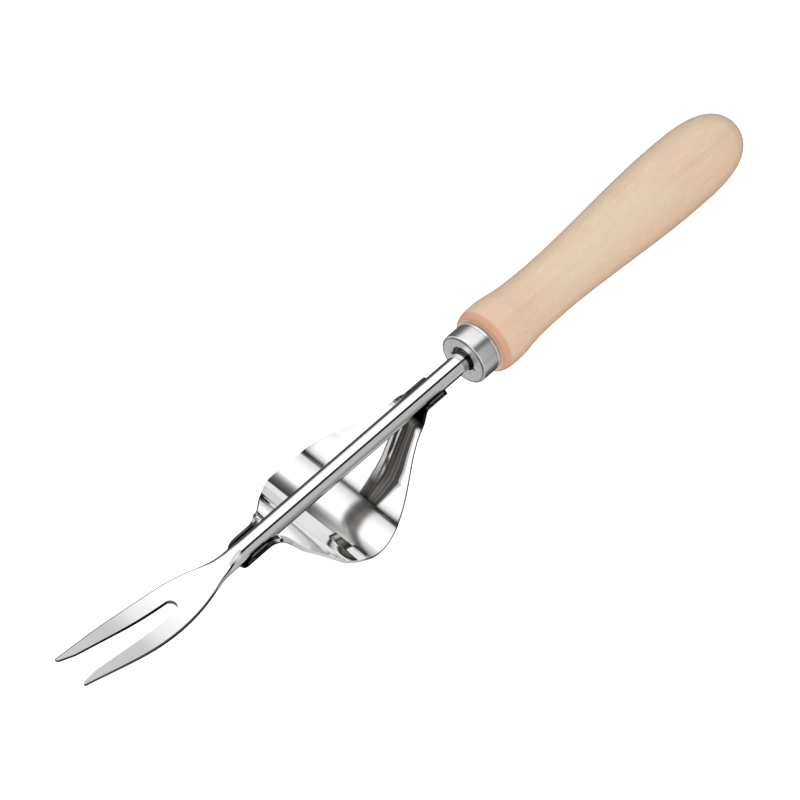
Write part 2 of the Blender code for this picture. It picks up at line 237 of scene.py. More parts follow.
# Painted shade next to the ferrule: how far the surface turns to -Y, against brightness
SHAFT_REAR_X = (-0.0032, -0.0028)
SHAFT_REAR_PAINTED_SHADE = ((0.31, 1.0), (0.34, 0.04), (0.49, 0.04), (0.52, 0.36))

# Fulcrum plate: painted dark reflections on the bright sheet at the trough's front edge and at the rear
# crease; the press dulled the trough. Each row is x and brightness, or x and dullness.
TROUGH_REFLECTION_AND_DULL_SPAN = (-0.080, -0.040)
TROUGH_EDGE_PAINTED_DARK = (
    (-0.0702, 1.0), (-0.0698, 0.06), (-0.0690, 0.10), (-0.0675, 0.17),
    (-0.0663, 0.27), (-0.0653, 0.45), (-0.0634, 1.0),
)
TROUGH_EDGE_PAINTED_DARK_Y = (-0.012, 0.006)
TROUGH_EDGE_PAINTED_DARK_SHARE = (0.35, 1.0)
CREASE_PAINTED_DARK = (
    (-0.0590, 1.0), (-0.0570, 0.84), (-0.0554, 0.70), (-0.0542, 0.66), (-0.0537, 0.24),
    (-0.05335, 0.24), (-0.0529, 0.62), (-0.0518, 0.86), (-0.0500, 1.0),
)
PRESSED_DULL = ((-0.0695, 0.0), (-0.0675, 1.0), (-0.0550, 1.0), (-0.0530, 0.0))
TROUGH_ROUGHNESS = 0.12
# Painted dark reflection and shade on the two tabs round the shaft
TAB_DARK_FRONT = (-0.0930, -0.0955)
TAB_DARK_REAR = (-0.0275, -0.0245)
TAB_DARK_SLANT = 0.4
TAB_PAINTED_DARK = 0.03

# Wood
WOOD_GRAIN_NOISE = ((22.0, 260.0, 260.0), 3.0, 4.0, 0.55)
WOOD_FINE_NOISE = ((60.0, 900.0, 900.0), 3.0, 3.0, 0.6)
WOOD_CLOUD_NOISE = ((16.0, 40.0, 40.0), 1.6, 2.0)
WOOD_PINK = (0.615, 0.430, 0.310)
WOOD_YELLOW = (0.600, 0.460, 0.330)
WOOD_CLOUD_FADE = (0.38, 0.62)
WOOD_STREAK = (0.94, 0.92, 0.90)
WOOD_STREAK_FADE = (0.35, 0.65)
WOOD_FRONT = (0.63, 0.425, 0.305)
WOOD_FRONT_X = (0.045, 0.012)
WOOD_FRONT_SHARE = 0.7
# Painted highlight along the handle's middle and painted shade on its -Y side, placed across it by this
# direction
WOOD_SIDELONG = (76.0, 34.0)
WOOD_PAINTED_HIGHLIGHT = (0.600, 0.512, 0.368)
WOOD_PAINTED_HIGHLIGHT_STOPS = ((0.0257, 0.0), (0.0457, 1.0), (0.0857, 1.0), (0.1143, 0.0))
WOOD_PAINTED_HIGHLIGHT_FADE = (0.75, 0.10)
WOOD_PAINTED_HIGHLIGHT_SHARE = 0.70
# Painted shade on the handle's -Y side
WOOD_PAINTED_SHADE = (0.595, 0.385, 0.265)
WOOD_PAINTED_SHADE_FADE = (0.30, 0.85)
WOOD_PAINTED_SHADE_SHARE = 0.8
WOOD_FLECK = (0.76, 0.62, 0.46)
WOOD_FLECK_FADE = (0.60, 0.72)
WOOD_FLECK_SHARE = 0.80
WOOD_PORE = (0.45, 0.28, 0.18)
WOOD_PORE_FADE = (0.36, 0.27)
WOOD_PORE_SHARE = 0.55
WOOD_SHOULDER = (0.57, 0.275, 0.165)
WOOD_SHOULDER_X = (0.0115, 0.0105)
WOOD_SHOULDER_SHARE = 0.90
WOOD_LIP = (0.86, 0.68, 0.50)
WOOD_LIP_RADIUS = (0.0103, 0.0100)
WOOD_LIP_SHARE = 0.8
# Painted shade on the wood inside the ferrule
WOOD_INSIDE_PAINTED_SHADE = (0.09, 0.085, 0.08)
WOOD_INSIDE_PAINTED_SHADE_X = (0.00775, 0.0050)
WOOD_ROUGHNESS = (0.40, 0.56)
WOOD_FINE_RELIEF = 0.5
WOOD_BUMP = (0.25, 0.0001)

# Ferrule: x or radius against brightness; a painted bright band and painted dark lines on the side near the
# rear rim, and a painted dark ring on the front face near its rim
FERRULE_CLOUD_NOISE = (EVEN_SCALE, 500.0, 4.0)
FERRULE_LINE_NOISE = ((40.0, 400.0, 400.0), 4.0)
FERRULE_TINT = (0.98, 0.975, 0.97)
FERRULE_FACE_X = (0.0001, 0.00002)
FERRULE_SPAN = (0.0, 0.010)
FERRULE_SIDE_TONE_AND_PAINTED_LINES = (
    (0.0005, 0.80), (0.0066, 0.74), (0.0069, 0.40), (0.0071, 0.95), (0.0079, 0.95), (0.0081, 0.3),
)
FERRULE_PAINTED_DARK_RING = ((0.00835, 1.0), (0.0086, 0.35), (0.00885, 0.35), (0.0090, 1.0))
FERRULE_MOTTLE = ((0.35, 0.86), (0.62, 1.0))
FERRULE_SIDE_ROUGHNESS = (0.22, 0.30)
FERRULE_FACE_ROUGHNESS = (0.26, 0.42)
FERRULE_BUMP = (0.10, 0.00005)

# Studio: degrees round the axis from +Y through up, against brightness, towards the handle and the tines
WORLD_STRENGTH = 1.15
FIRST_BAND = -90.0
HANDLE_SIDE_BANDS = (
    (-90, 0.03), (-40, 0.04), (4, 0.06), (14, 0.22), (34, 1.0), (101, 1.0), (104, 0.02), (124, 0.01),
    (127, 0.42), (174, 0.42), (185, 0.30), (196, 0.46), (222, 0.44), (232, 0.08), (240, 0.02), (270, 0.02),
)
TINE_SIDE_BANDS = (
    (-90, 0.52), (-30, 0.50), (5, 0.60), (20, 1.0), (160, 1.0), (180, 0.60), (210, 0.45), (270, 0.52),
)
HANDLE_SIDE_X = (-0.08, 0.20)
# Direction along the axis against brightness, all round and near the upright plane through the axis
AXIS_SPAN = (-1.0, 1.0)
WORLD_ENDS = (
    (-1.0, 0.05), (-0.78, 0.05), (-0.70, 0.20), (-0.66, 0.20), (-0.54, 1.0), (0.52, 1.0),
    (0.60, 0.86), (0.70, 0.78), (0.79, 0.58), (0.87, 0.60), (0.93, 0.06), (1.0, 0.03),
)
WORLD_MIDDLE = (
    (-1.0, 0.55), (-0.60, 0.70), (-0.35, 1.0), (-0.20, 0.60), (0.20, 0.60), (0.33, 1.0),
    (0.66, 1.0), (0.80, 0.85), (1.0, 0.70),
)
MIDDLE_Y = (0.25, 0.14)
MIDDLE_Z = (0.10, 0.25)
FLOOR_HALF_SIZE = 3.0
FLOOR_GAP = 0.0005
CAMERA_LENS = 159.437
CAMERA_OFFSET = Vector((-0.56079, -0.41893, 0.93326))
CAMERA_TURN = Quaternion((0.872489, 0.273224, -0.146709, -0.377609))

ferrule_low, ferrule_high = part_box("ferrule")
ferrule_middle = (ferrule_low + ferrule_high) / 2
ORIGIN = Vector((ferrule_low.x, ferrule_middle.y, ferrule_middle.z))


# Geometry helpers


def bezier(points, count):
    (ax, ay), (bx, by), (cx, cy), (dx, dy) = points
    curve = []
    for step in range(count + 1):
        t = step / count
        s = 1.0 - t
        weights = (s**3, 3 * s * s * t, 3 * s * t * t, t**3)
        x = weights[0] * ax + weights[1] * bx + weights[2] * cx + weights[3] * dx
        y = weights[0] * ay + weights[1] * by + weights[2] * cy + weights[3] * dy
        curve.append((x, y))
    return curve


def arc(centre, radius, start_degrees, end_degrees, count):
    points = []
    for step in range(count + 1):
        angle = math.radians(start_degrees + (end_degrees - start_degrees) * step / count)
        points.append((centre[0] + radius * math.cos(angle), centre[1] + radius * math.sin(angle)))
    return points


def circle(centre, radius, sides):
    return arc(centre, radius, 0, 360 - 360 / sides, sides - 1)


def along(curve, x):
    if x <= curve[0][0]:
        return curve[0][1]
    for (x0, y0), (x1, y1) in zip(curve, curve[1:]):
        if x <= x1:
            return y0 + (y1 - y0) * (x - x0) / (x1 - x0)
    return curve[-1][1]


def ease(x, start, end):
    t = min(1.0, max(0.0, (x - start) / (end - start)))
    return t * t * (3.0 - 2.0 * t)


def mix(a, b, share):
    return a + (b - a) * share


def spread(start, end, count):
    return [start + (end - start) * step / count for step in range(count + 1)]


def mesh_of(name, bm):
    mesh = bpy.data.meshes.new(name)
    bm.to_mesh(mesh)
    bm.free()
    return mesh


def link_object(name, data):
    thing = bpy.data.objects.new(name, data)
    bpy.context.scene.collection.objects.link(thing)
    return thing


def new_piece(name, bm, replaced, material):
    bmesh.ops.recalc_face_normals(bm, faces=bm.faces)
    mesh = mesh_of(name, bm)
    mesh.shade_smooth()
    mesh.materials.append(material)
    piece = link_object(name, mesh)
    piece.location = ORIGIN
    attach(piece, "root")
    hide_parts(replaced)
    return piece


def apply_modifiers(piece):
    graph = bpy.context.evaluated_depsgraph_get()
    mesh = bpy.data.meshes.new_from_object(piece.evaluated_get(graph))
    piece.modifiers.clear()
    piece.data = mesh


def soften(piece, width, angle, segments):
    bevel = piece.modifiers.new("soft_edges", "BEVEL")
    bevel.width = width
    bevel.segments = segments
    bevel.limit_method = "ANGLE"
    bevel.angle_limit = math.radians(angle)
    bevel.harden_normals = True
    apply_modifiers(piece)


def new_cutter(bm):
    bmesh.ops.recalc_face_normals(bm, faces=bm.faces)
    cutter = link_object("cutter", mesh_of("cutter", bm))
    cutter.location = ORIGIN
    return cutter


def cut_away(piece, *cutters):
    for cutter in cutters:
        cut = piece.modifiers.new("cut", "BOOLEAN")
        cut.operation = "DIFFERENCE"
        cut.object = cutter
    apply_modifiers(piece)
    for cutter in cutters:
        bpy.data.objects.remove(cutter)


def loft(rings):
    bm = bmesh.new()
    rows = [[bm.verts.new(point) for point in ring] for ring in rings]
    size = len(rows[0])
    for low, high in zip(rows, rows[1:]):
        for i in range(size):
            j = (i + 1) % size
            bm.faces.new((low[i], low[j], high[j], high[i]))
    bm.faces.new(rows[0])
    bm.faces.new(rows[-1])
    return bm


# Node helpers


def new_material(name):
    material = bpy.data.materials.new(name)
    material.use_nodes = True
    tree = material.node_tree
    return material, tree, tree.nodes["Principled BSDF"]


def add_node(tree, kind, **values):
    node = tree.nodes.new(kind)
    for key, value in values.items():
        if key.startswith("in_"):
            slot_key = key[3:]
            node.inputs[int(slot_key) if slot_key.isdigit() else slot_key].default_value = value
        else:
            setattr(node, key, value)
    return node


def coordinates(tree, kind):
    return add_node(tree, "ShaderNodeTexCoord").outputs[kind]


def split_xyz(tree, vector):
    node = add_node(tree, "ShaderNodeSeparateXYZ")
    tree.links.new(vector, node.inputs[0])
    return node.outputs


def math_node(tree, operation, first, second=0.0, third=0.0, clamp=False):
    node = add_node(tree, "ShaderNodeMath", operation=operation, use_clamp=clamp)
    for socket, value in zip(node.inputs, (first, second, third)):
        if isinstance(value, (int, float)):
            socket.default_value = value
        else:
            tree.links.new(value, socket)
    return node.outputs[0]


def fade(tree, value, start, end):
    """0 where the value is at start or before it, 1 at end or past it, and straight between."""
    return math_node(tree, "DIVIDE", math_node(tree, "SUBTRACT", value, start), end - start, clamp=True)


def between(tree, share, low, high):
    return math_node(tree, "MULTIPLY_ADD", share, high - low, low)


def axis_radius(tree, y, z):
    across = math_node(tree, "MULTIPLY", y, y)
    upward = math_node(tree, "MULTIPLY", z, z)
    return math_node(tree, "SQRT", math_node(tree, "ADD", across, upward))


def colour_of(value):
    if isinstance(value, (int, float)):
        return (value, value, value, 1.0)
    return (*value, 1.0)


def ramp_node(tree, factor, stops):
    ramp = add_node(tree, "ShaderNodeValToRGB")
    elements = ramp.color_ramp.elements
    while len(elements) > 1:
        elements.remove(elements[-1])
    elements[0].position = stops[0][0]
    elements[0].color = colour_of(stops[0][1])
    for position, colour in stops[1:]:
        element = elements.new(position)
        element.color = colour_of(colour)
    tree.links.new(factor, ramp.inputs[0])
    return ramp.outputs[0]


def ramp_over(tree, value, span, stops):
    """Ramp over a length or a direction. The stops are in its own unit, inside the span."""
    first, last = span
    where = fade(tree, value, first, last)
    return ramp_node(tree, where, [((at - first) / (last - first), colour) for at, colour in stops])


def ramp_round_axis(tree, y, z, stops, first=0.0):
    """Ramp by the angle round X, from +Y through up. The stops are in degrees, from first on."""
    angle = math_node(tree, "DIVIDE", math_node(tree, "ARCTAN2", z, y), 2 * math.pi)
    turn = math_node(tree, "FRACT", math_node(tree, "ADD", angle, 1.0 - first / 360))
    return ramp_node(tree, turn, [((degrees - first) / 360, value) for degrees, value in stops])


def mix_colour(tree, factor, first, second, blend="MIX"):
    node = add_node(tree, "ShaderNodeMix", data_type="RGBA", blend_type=blend)
    if isinstance(factor, (int, float)):
        node.inputs[0].default_value = factor
    else:
        tree.links.new(factor, node.inputs[0])
    for socket, value in ((node.inputs[6], first), (node.inputs[7], second)):
        if isinstance(value, (tuple, int, float)):
            socket.default_value = colour_of(value)
        else:
            tree.links.new(value, socket)
    return node.outputs[2]


def multiply(tree, first, second):
    return mix_colour(tree, 1.0, first, second, "MULTIPLY")


def scaled_noise(tree, place, scale, size, detail=3.0, roughness=0.5):
    mapping = add_node(tree, "ShaderNodeMapping", in_Scale=scale)
    tree.links.new(place, mapping.inputs[0])
    noise = add_node(tree, "ShaderNodeTexNoise", in_Scale=size, in_Detail=detail, in_Roughness=roughness)
    tree.links.new(mapping.outputs[0], noise.inputs["Vector"])
    return noise.outputs["Fac"]


def add_bump(tree, shader, height, strength, depth):
    bumped = add_node(tree, "ShaderNodeBump", in_Strength=strength, in_Distance=depth)
    tree.links.new(height, bumped.inputs["Height"])
    tree.links.new(bumped.outputs[0], shader.inputs["Normal"])


def add_roughness(tree, shader, mask, amount):
    polish = shader.inputs["Roughness"].links[0].from_socket
    tree.links.new(math_node(tree, "MULTIPLY_ADD", mask, amount, polish), shader.inputs["Roughness"])


# Materials


def metal(name, tint, roughness, grain_scale, grain_size, bump):
    """Metal with fine polishing lines: the grain drives roughness, tint and a slight bump."""
    material, tree, shader = new_material(name)
    shader.inputs["Metallic"].default_value = 1.0
    place = coordinates(tree, "Object")
    grain = scaled_noise(tree, place, grain_scale, grain_size)
    cloud = scaled_noise(tree, place, *METAL_CLOUD_NOISE)
    clouded = math_node(tree, "MULTIPLY", cloud, METAL_CLOUD_SHARE)
    blend = math_node(tree, "MULTIPLY_ADD", grain, 1.0 - METAL_CLOUD_SHARE, clouded)
    tree.links.new(between(tree, blend, *roughness), shader.inputs["Roughness"])
    dark = tuple(METAL_CLOUD_TONE * c for c in tint)
    tree.links.new(mix_colour(tree, cloud, dark, tint), shader.inputs["Base Color"])
    add_bump(tree, shader, grain, bump, METAL_BUMP_DEPTH)
    return material, tree, shader


def fork_steel():
    """Polished bar steel, with a painted dark reflection on the walls round the flat fork, painted shade on
    its underside and painted dark reflections and shade round the shaft.
    """
    material, tree, shader = metal(
        "mirror_steel",
        tint=(0.97, 0.97, 0.965),
        roughness=(0.012, 0.028),
        grain_scale=(4.0, 300.0, 300.0),
        grain_size=6.0,
        bump=0.01,
    )
    tone = shader.inputs["Base Color"].links[0].from_socket
    _, normal_y, normal_z = split_xyz(tree, coordinates(tree, "Normal"))
    x, y, _ = split_xyz(tree, coordinates(tree, "Object"))

    # Painted dark reflection on the walls round the flat fork
    flat = fade(tree, x, *FORK_WALL_X)
    left_side = fade(tree, normal_y, *LEFT_WALL_TILT)
    left_wall = math_node(tree, "MULTIPLY", left_side, fade(tree, y, *LEFT_WALL_Y))
    level = math_node(tree, "ABSOLUTE", normal_z)
    level = math_node(tree, "MULTIPLY_ADD", left_wall, -LEFT_WALL_EXTRA, level)
    wall = math_node(tree, "MULTIPLY", fade(tree, level, *FORK_WALL_TILT), flat)
    tone = mix_colour(tree, wall, tone, FORK_WALL_PAINTED_REFLECTION)
    # Painted shade on the flat fork's underside
    below = math_node(tree, "MULTIPLY", fade(tree, normal_z, *BLADE_UNDERSIDE_TILT), flat)
    tone = mix_colour(tree, below, tone, BLADE_UNDERSIDE_PAINTED_SHADE)

    # Painted dark reflection in stripes round the shaft's underside
    under = ramp_round_axis(tree, normal_y, normal_z, SHAFT_UNDERSIDE)
    whole = ramp_round_axis(tree, normal_y, normal_z, SHAFT_UNDERSIDE_WHOLE)
    whole = math_node(tree, "MULTIPLY", whole, fade(tree, x, *SHAFT_UNDERSIDE_WHOLE_X))
    under = math_node(tree, "MAXIMUM", under, whole)
    under = math_node(tree, "MULTIPLY", under, math_node(tree, "SUBTRACT", 1.0, flat))
    stripes = ramp_round_axis(tree, normal_y, normal_z, SHAFT_UNDERSIDE_PAINTED_STRIPES)
    tone = mix_colour(tree, under, tone, multiply(tree, stripes, SHAFT_UNDERSIDE_PAINTED_REFLECTION))

    # Painted dark reflection on the shaft's -Y side over the plate
    side = ramp_round_axis(tree, normal_y, normal_z, SHAFT_PAINTED_DARK_SIDE)
    over_plate = ramp_over(tree, x, SHAFT_SIDE_SPAN, SHAFT_SIDE_STOPS)
    tone = mix_colour(tree, over_plate, tone, multiply(tree, tone, side))
    # Painted shade on the shaft's -Y side next to the ferrule
    right = math_node(tree, "MULTIPLY", normal_y, -1.0)
    flank = multiply(tree, tone, ramp_node(tree, right, SHAFT_REAR_PAINTED_SHADE))
    tone = mix_colour(tree, fade(tree, x, *SHAFT_REAR_X), tone, flank)
    tree.links.new(tone, shader.inputs["Base Color"])
    dull = math_node(tree, "MAXIMUM", under, below)
    add_roughness(tree, shader, dull, SHAFT_UNDERSIDE_ROUGHNESS)
    return material


def sheet_steel():
    """Bright rolled sheet, with painted dark reflections at the trough's front edge and rear crease, and
    painted dark reflection and shade on the two tabs hugging the shaft.
    """
    material, tree, shader = metal(
        "mirror_sheet_steel",
        tint=(0.98, 0.98, 0.975),
        roughness=(0.020, 0.050),
        grain_scale=(8.0, 300.0, 300.0),
        grain_size=5.0,
        bump=0.005,
    )
    tone = shader.inputs["Base Color"].links[0].from_socket
    x, y, _ = split_xyz(tree, coordinates(tree, "Object"))
    # Painted dark reflections at the trough's front edge and at the rear crease
    edge = multiply(tree, tone, ramp_over(tree, x, TROUGH_REFLECTION_AND_DULL_SPAN, TROUGH_EDGE_PAINTED_DARK))
    share = between(tree, fade(tree, y, *TROUGH_EDGE_PAINTED_DARK_Y), *TROUGH_EDGE_PAINTED_DARK_SHARE)
    tone = mix_colour(tree, share, tone, edge)
    tone = multiply(tree, tone, ramp_over(tree, x, TROUGH_REFLECTION_AND_DULL_SPAN, CREASE_PAINTED_DARK))
    # Painted dark reflection and shade on the two tabs round the shaft
    slanted = math_node(tree, "MULTIPLY_ADD", y, -TAB_DARK_SLANT, x)
    dark = math_node(tree, "MAXIMUM", fade(tree, x, *TAB_DARK_FRONT), fade(tree, slanted, *TAB_DARK_REAR))
    tree.links.new(mix_colour(tree, dark, tone, TAB_PAINTED_DARK), shader.inputs["Base Color"])
    add_roughness(tree, shader, ramp_over(tree, x, TROUGH_REFLECTION_AND_DULL_SPAN, PRESSED_DULL), TROUGH_ROUGHNESS)
    return material


def weld_steel():
    """Dark, rough metal of the weld seams."""
    return metal(
        "weld_steel",
        tint=(0.16, 0.155, 0.15),
        roughness=(0.20, 0.40),
        grain_scale=(200.0, 200.0, 200.0),
        grain_size=6.0,
        bump=0.3,
    )[0]


def beech_wood():
    """Pale beech: grain along the handle, pink and yellow clouds, short flecks and a warmer shoulder, with a
    painted highlight along the middle, painted shade on the -Y side and painted shade on the part inside the
    ferrule.
    """
    material, tree, shader = new_material("beech")
    place = coordinates(tree, "Object")
    x, y, z = split_xyz(tree, place)
    grain = scaled_noise(tree, place, *WOOD_GRAIN_NOISE)
    fine = scaled_noise(tree, place, *WOOD_FINE_NOISE)
    cloud = scaled_noise(tree, place, *WOOD_CLOUD_NOISE)
    tone = mix_colour(tree, fade(tree, cloud, *WOOD_CLOUD_FADE), WOOD_PINK, WOOD_YELLOW)
    streaks = fade(tree, grain, *WOOD_STREAK_FADE)
    tone = mix_colour(tree, streaks, multiply(tree, tone, WOOD_STREAK), tone)
    front = math_node(tree, "MULTIPLY", fade(tree, x, *WOOD_FRONT_X), WOOD_FRONT_SHARE)
    tone = mix_colour(tree, front, tone, WOOD_FRONT)

    # Painted highlight along the handle's middle
    sidelong = math_node(tree, "MULTIPLY", z, -WOOD_SIDELONG[1])
    sidelong = math_node(tree, "MULTIPLY_ADD", y, -WOOD_SIDELONG[0], sidelong)
    middle = fade(tree, math_node(tree, "ABSOLUTE", sidelong), *WOOD_PAINTED_HIGHLIGHT_FADE)
    middle = math_node(tree, "MULTIPLY", middle, WOOD_PAINTED_HIGHLIGHT_SHARE)
    painted_highlight = math_node(tree, "MULTIPLY", ramp_over(tree, x, (0.0, HANDLE_END_X), WOOD_PAINTED_HIGHLIGHT_STOPS), middle)
    tone = mix_colour(tree, painted_highlight, tone, WOOD_PAINTED_HIGHLIGHT)
    # Painted shade on the handle's -Y side
    painted_side_shade = math_node(tree, "MULTIPLY", fade(tree, sidelong, *WOOD_PAINTED_SHADE_FADE), WOOD_PAINTED_SHADE_SHARE)
    tone = mix_colour(tree, painted_side_shade, tone, WOOD_PAINTED_SHADE)
    flecks = math_node(tree, "MULTIPLY", fade(tree, fine, *WOOD_FLECK_FADE), WOOD_FLECK_SHARE)
    tone = mix_colour(tree, flecks, tone, WOOD_FLECK)
    pores = math_node(tree, "MULTIPLY", fade(tree, fine, *WOOD_PORE_FADE), WOOD_PORE_SHARE)
    tone = mix_colour(tree, pores, tone, WOOD_PORE)

    shoulder = fade(tree, x, *WOOD_SHOULDER_X)
    tone = mix_colour(tree, math_node(tree, "MULTIPLY", shoulder, WOOD_SHOULDER_SHARE), tone, WOOD_SHOULDER)
    lip = math_node(tree, "MULTIPLY", fade(tree, axis_radius(tree, y, z), *WOOD_LIP_RADIUS), shoulder)
    tone = mix_colour(tree, math_node(tree, "MULTIPLY", lip, WOOD_LIP_SHARE), tone, WOOD_LIP)
    # Painted shade on the wood inside the ferrule
    tone = mix_colour(tree, fade(tree, x, *WOOD_INSIDE_PAINTED_SHADE_X), tone, WOOD_INSIDE_PAINTED_SHADE)
    tree.links.new(tone, shader.inputs["Base Color"])
    tree.links.new(between(tree, grain, *WOOD_ROUGHNESS), shader.inputs["Roughness"])
    shader.inputs["Coat Weight"].default_value = 0.6
    shader.inputs["Coat Roughness"].default_value = 0.18
    relief = math_node(tree, "ADD", grain, math_node(tree, "MULTIPLY", fine, WOOD_FINE_RELIEF))
    add_bump(tree, shader, relief, *WOOD_BUMP)
    return material


def ferrule_steel():
    """Stamped steel: rubbed dull on its flat front, with a painted dark ring near the front's rim, and a
    painted bright band between painted dark lines round its side near the rear rim.
    """
    material, tree, shader = new_material("ferrule_steel")
    shader.inputs["Metallic"].default_value = 0.94
    place = coordinates(tree, "Object")
    x, y, z = split_xyz(tree, place)
    cloud = scaled_noise(tree, place, *FERRULE_CLOUD_NOISE)
    lines = scaled_noise(tree, place, *FERRULE_LINE_NOISE)
    face = fade(tree, x, *FERRULE_FACE_X)
    rough = add_node(tree, "ShaderNodeMix", data_type="FLOAT")
    tree.links.new(face, rough.inputs[0])
    tree.links.new(between(tree, lines, *FERRULE_SIDE_ROUGHNESS), rough.inputs[2])
    tree.links.new(between(tree, cloud, *FERRULE_FACE_ROUGHNESS), rough.inputs[3])
    tree.links.new(rough.outputs[0], shader.inputs["Roughness"])
    # Painted highlight band and painted dark lines on the side near the rear rim
    side_tint = ramp_over(tree, x, FERRULE_SPAN, FERRULE_SIDE_TONE_AND_PAINTED_LINES)
    # Painted dark reflection: a ring on the front face near its rim
    ring = ramp_over(tree, axis_radius(tree, y, z), FERRULE_SPAN, FERRULE_PAINTED_DARK_RING)
    face_tint = multiply(tree, multiply(tree, FERRULE_TINT, ring), ramp_node(tree, cloud, FERRULE_MOTTLE))
    tree.links.new(mix_colour(tree, face, side_tint, face_tint), shader.inputs["Base Color"])
    add_bump(tree, shader, cloud, *FERRULE_BUMP)
    return material


# Fork and shaft


def blade_top(x):
    height = BLADE_TOP_AT_NECK
    position = NECK_TOP_X[0]
    while position > x:
        rise = NECK_RISE + (TINE_RISE - NECK_RISE) * ease(position, *TINE_BEND_X)
        height += rise * min(SLOPE_STEP, position - x)
        position -= SLOPE_STEP
    return height


def blade_thickness(x):
    return mix(BLADE_THICKNESS_ROOT, BLADE_THICKNESS_TIP, ease(x, SLOT_ROOT_X, TIP_X))


def bar_section(x, outline):
    half_width = along(outline, x)
    top = mix(SHAFT_RADIUS, blade_top(x), ease(x, *NECK_TOP_X))
    bottom = mix(-SHAFT_RADIUS, blade_top(x) - blade_thickness(x), ease(x, *NECK_BOTTOM_X))
    corner = mix(SHAFT_RADIUS, BLADE_EDGE_RADIUS, ease(x, *NECK_CORNER_X))
    return half_width, top, bottom, min(corner, FULLEST_CORNER * half_width)


def rounded_rectangle(half_width, top, bottom, radius):
    """Outline with four rounded corners, as (y, z) points. Where it is thin they are flattened."""
    height = min(radius, FULLEST_CORNER * (top - bottom) / 2)
    right = half_width - radius
    high, low = top - height, bottom + height
    corners = ((right, high), (-right, high), (-right, low), (right, low))
    points = []
    for quarter, (y, z) in enumerate(corners):
        for across, up in arc((0.0, 0.0), 1.0, 90 * quarter, 90 * quarter + 90, CORNER_STEPS):
            points.append((y + radius * across, z + height * up))
    return points


def make_fork_shaft(steel):
    tip_steps, neck_steps = BLADE_OUTLINE_STEPS
    outline = bezier(BLADE_OUTLINE_TIP, tip_steps) + bezier(BLADE_OUTLINE_NECK, neck_steps)[1:]
    stations = spread(TIP_X - TIP_RADIUS, SLOT_ROOT_X, TINE_STEPS)[:-1]
    stations += spread(SLOT_ROOT_X, NECK_REAR_X, ROOT_STEPS)[:-1]
    stations += spread(NECK_REAR_X, NECK_BOTTOM_X[0], NECK_STEPS)
    stations += spread(NECK_BOTTOM_X[0], TANG_END_X - TANG_CHAMFER, SHAFT_STEPS)[1:]
    rings = []
    for x in stations:
        section = rounded_rectangle(*bar_section(x, outline))
        rings.append([(x, y, z) for y, z in section])
    small = SHAFT_RADIUS - TANG_CHAMFER
    end = rounded_rectangle(small, small, -small, FULLEST_CORNER * small)
    rings.append([(TANG_END_X, y, z) for y, z in end])
    piece = new_piece("fork_shaft_steel", loft(rings), "fork_shaft", steel)
    cut_away(piece, slot_cutter())
    soften(piece, FORK_SOFT_EDGE, angle=50, segments=4)


def slot_cutter():
    root = (SLOT_ROOT_X - SLOT_ROOT_RADIUS, 0.0)
    tip = (TIP_X + TIP_RADIUS, TIP_CENTRE_Y)
    half = arc(root, SLOT_ROOT_RADIUS, *SLOT_ROOT_DEGREES, SLOT_ROOT_STEPS)
    half.append((SLOT_FLARE_X, SLOT_HALF_WIDTH_TIP))
    half += arc(tip, TIP_RADIUS, *TIP_ARC_DEGREES, SLOT_TIP_STEPS)
    half += [(tip[0], SLOT_CUTTER_SIDE_Y), (TIP_X - CUTTER_MARGIN, SLOT_CUTTER_SIDE_Y)]
    outline = half + [(x, -y) for x, y in reversed(half[1:])]
    return new_cutter(loft([[(x, y, z) for x, y in outline] for z in SLOT_CUTTER_Z]))


# Fulcrum plate


def filleted_side(corners):
    path = [corners[0][:2]]
    for before, here, after in zip(corners, corners[1:], corners[2:]):
        angle_in = math.atan2(here[1] - before[1], here[0] - before[0])
        angle_out = math.atan2(after[1] - here[1], after[0] - here[0])
        turn = angle_out - angle_in
        reach = here[2] * math.tan(abs(turn) / 2)
        start = (here[0] - reach * math.cos(angle_in), here[1] - reach * math.sin(angle_in))
        side = math.copysign(here[2], turn)
        centre = (start[0] - side * math.sin(angle_in), start[1] + side * math.cos(angle_in))
        for step in range(FILLET_STEPS + 1):
            angle = angle_in + turn * step / FILLET_STEPS
            path.append((centre[0] + side * math.sin(angle), centre[1] - side * math.cos(angle)))
    path.append(corners[-1][:2])
    return path


def refine(path, longest):
    fine = [path[0]]
    for start, end in zip(path, path[1:]):
        count = max(1, math.ceil(math.dist(start, end) / longest))
        for step in range(1, count + 1):
            t = step / count
            fine.append((mix(start[0], end[0], t), mix(start[1], end[1], t)))
    return fine


def plate_path():
    """Fine side profile of the plate's middle line, with a small bend at each end of its round trough."""
    first, last = (TROUGH_STEP_DEGREES * step for step in TROUGH_STEPS)
    centre_z = TROUGH_BOTTOM_Z + TROUGH_RADIUS
    count = round((TROUGH_STEPS[1] - TROUGH_STEPS[0]) * TROUGH_SMOOTH_STEPS)
    trough = arc((TROUGH_X, centre_z), TROUGH_RADIUS, first - 90, last - 90, count)
    front_edge = (*trough[0], CREASE_RADIUS)
    rear_edge = (*trough[-1], CREASE_RADIUS)
    middle = [(x, z, 0.0) for x, z in trough[1:-1]]
    path = filleted_side((*PLATE_FRONT, front_edge, *middle, rear_edge, *PLATE_REAR))
    return refine(sorted(set(path)), SHEET_STEP)


def plate_half_width(x, outline):
    width = along(outline, x)
    from_end = min(x - PLATE_FRONT[0][0], PLATE_REAR[-1][0] - x)
    if from_end < TAB_CORNER_RADIUS:
        missing = TAB_CORNER_RADIUS - from_end
        width += math.sqrt(max(0.0, TAB_CORNER_RADIUS**2 - missing**2)) - TAB_CORNER_RADIUS
    return width


